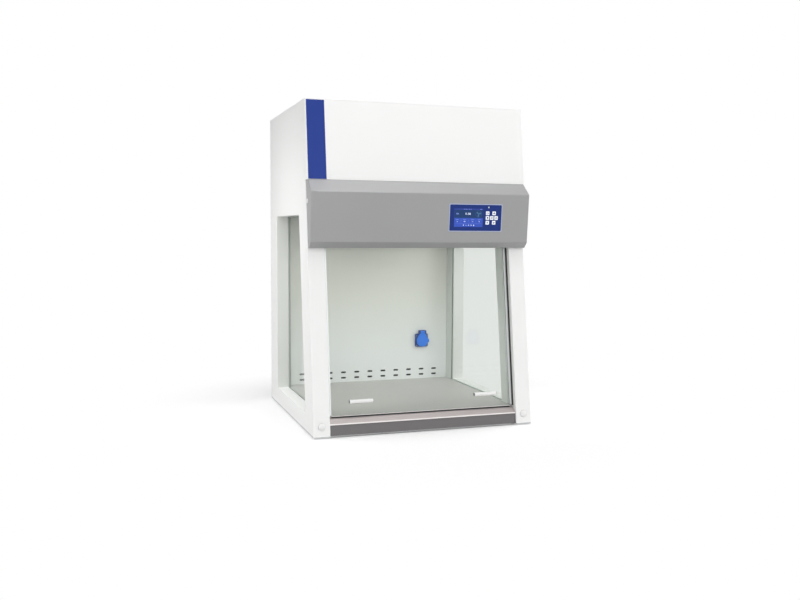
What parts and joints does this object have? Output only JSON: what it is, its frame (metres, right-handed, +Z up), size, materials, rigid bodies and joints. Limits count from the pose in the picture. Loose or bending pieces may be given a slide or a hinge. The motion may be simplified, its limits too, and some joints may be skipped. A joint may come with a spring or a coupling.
{
  "type": "biological safety cabinet",
  "caption": "Bench-top biological safety cabinet with a leaning sliding glass sash, window side walls, grey folded control visor and blue label strip.",
  "frame": {"origin": "under the middle of the whole box, at the underside of the feet", "axes": "+Z up, +X to the cabinet's right as seen from the front, the sash faces -Y"},
  "size_m": [0.7, 0.672, 0.993],
  "materials": {
    "white_paint": "satin powder coat",
    "grey_paint": "satin powder coat",
    "liner_paint": "satin, grey-green",
    "dark_paint": "satin",
    "floor_steel": "brushed, grey",
    "sill_steel": "satin",
    "sheet_steel": "mill finish",
    "aluminium": "anodised",
    "white_plastic": "matte",
    "black_plastic": "matte",
    "blue_film": "satin film",
    "panel_film": "satin film",
    "screen": "clear window over a colour display",
    "light_lens": "clear",
    "socket_dark": "matte",
    "socket_light": "matte",
    "black_rubber": "matte",
    "clear_glass": "clear, faint green",
    "tube_glass": "white coated tube",
    "quartz_glass": "clear tube",
    "board": "circuit board",
    "filter_wood": "plain board",
    "filter_paper": "pleated",
    "motor_cast": "painted",
    "zinc_steel": "zinc plated",
    "screw_steel": "bright"
  },
  "bodies": {
    "cabinet": {"feet": "black_rubber", "base_plate": "sheet_steel", "base_pan": "sheet_steel", "work_surface": "floor_steel", "front_fascia": "dark_paint", "front_sill": "sill_steel", "post_caps": "white_plastic", "side_shell_left": "white_paint", "side_shell_right": "white_paint", "side_liner_left": "liner_paint", "side_liner_right": "liner_paint", "side_glass_left": "clear_glass", "side_glass_right": "clear_glass", "window_seal_left": "black_rubber", "window_seal_right": "black_rubber", "rear_panel": "white_paint", "rear_screws": "screw_steel", "power_inlet": "black_plastic", "top_panel": "white_paint", "exhaust_grille": "sheet_steel", "front_cover": "white_paint", "label_strip": "blue_film", "visor": "grey_paint", "visor_back": "sheet_steel", "visor_plugs": "white_plastic", "control_panel": "panel_film", "display": "screen", "status_light": "light_lens", "control_board": "board", "back_wall": "liner_paint", "diffuser": "sheet_steel", "header_panel": "liner_paint", "sash_guides": "aluminium", "guide_gaskets": "black_rubber", "socket_base": "socket_dark", "socket_pin": "screw_steel", "work_lamp": "tube_glass", "ultraviolet_lamp": "quartz_glass", "lamp_holders": "white_plastic", "supply_filter_frame": "filter_wood", "supply_filter_media": "filter_paper", "fan_tray": "sheet_steel", "blower_housing": "zinc_steel", "blower_motor": "motor_cast", "exhaust_filter_frame": "filter_wood", "exhaust_filter_media": "filter_paper"},
    "sash": {"sash_glass": "clear_glass", "sash_rail": "aluminium", "sash_seal": "black_rubber", "sash_handle_left": "white_plastic", "sash_handle_right": "white_plastic"},
    "socket_flap": {"socket_lid": "socket_light"},
    "wheel": {"blower_wheel": "zinc_steel"},
    "key_power": {"key_power": "white_plastic"},
    "key_fan": {"key_fan": "white_plastic"},
    "key_lamp": {"key_lamp": "white_plastic"},
    "key_ultraviolet": {"key_ultraviolet": "white_plastic"},
    "key_socket": {"key_socket": "white_plastic"},
    "key_up": {"key_up": "white_plastic"},
    "key_down": {"key_down": "white_plastic"}
  },
  "joints": [
    {"name": "sash_slide", "type": "slide", "parent": "cabinet", "child": "sash", "axis": [0, 0.1374, 0.9905], "range_m": [0, 0.33]},
    {"name": "socket_flap", "type": "hinge", "parent": "cabinet", "child": "socket_flap", "pos_m": [0.2, 0.255, 0.232], "axis": [-1, 0, 0], "range_deg": [0, 110]},
    {"name": "blower_spin", "type": "hinge", "parent": "cabinet", "child": "wheel", "pos_m": [-0.14, 0.17, 0.875], "axis": [0, 1, 0], "continuous": true},
    {"name": "key_power_press", "type": "slide", "parent": "cabinet", "child": "key_power", "axis": [0, 0.9968, 0.0802], "range_m": [0, 0.0008], "stiffness_N_per_m": 600, "springref_m": -0.0006},
    {"name": "key_fan_press", "type": "slide", "parent": "cabinet", "child": "key_fan", "axis": [0, 0.9968, 0.0802], "range_m": [0, 0.0008], "stiffness_N_per_m": 600, "springref_m": -0.0006},
    {"name": "key_lamp_press", "type": "slide", "parent": "cabinet", "child": "key_lamp", "axis": [0, 0.9968, 0.0802], "range_m": [0, 0.0008], "stiffness_N_per_m": 600, "springref_m": -0.0006},
    {"name": "key_ultraviolet_press", "type": "slide", "parent": "cabinet", "child": "key_ultraviolet", "axis": [0, 0.9968, 0.0802], "range_m": [0, 0.0008], "stiffness_N_per_m": 600, "springref_m": -0.0006},
    {"name": "key_socket_press", "type": "slide", "parent": "cabinet", "child": "key_socket", "axis": [0, 0.9968, 0.0802], "range_m": [0, 0.0008], "stiffness_N_per_m": 600, "springref_m": -0.0006},
    {"name": "key_up_press", "type": "slide", "parent": "cabinet", "child": "key_up", "axis": [0, 0.9968, 0.0802], "range_m": [0, 0.0008], "stiffness_N_per_m": 600, "springref_m": -0.0006},
    {"name": "key_down_press", "type": "slide", "parent": "cabinet", "child": "key_down", "axis": [0, 0.9968, 0.0802], "range_m": [0, 0.0008], "stiffness_N_per_m": 600, "springref_m": -0.0006}
  ]
}
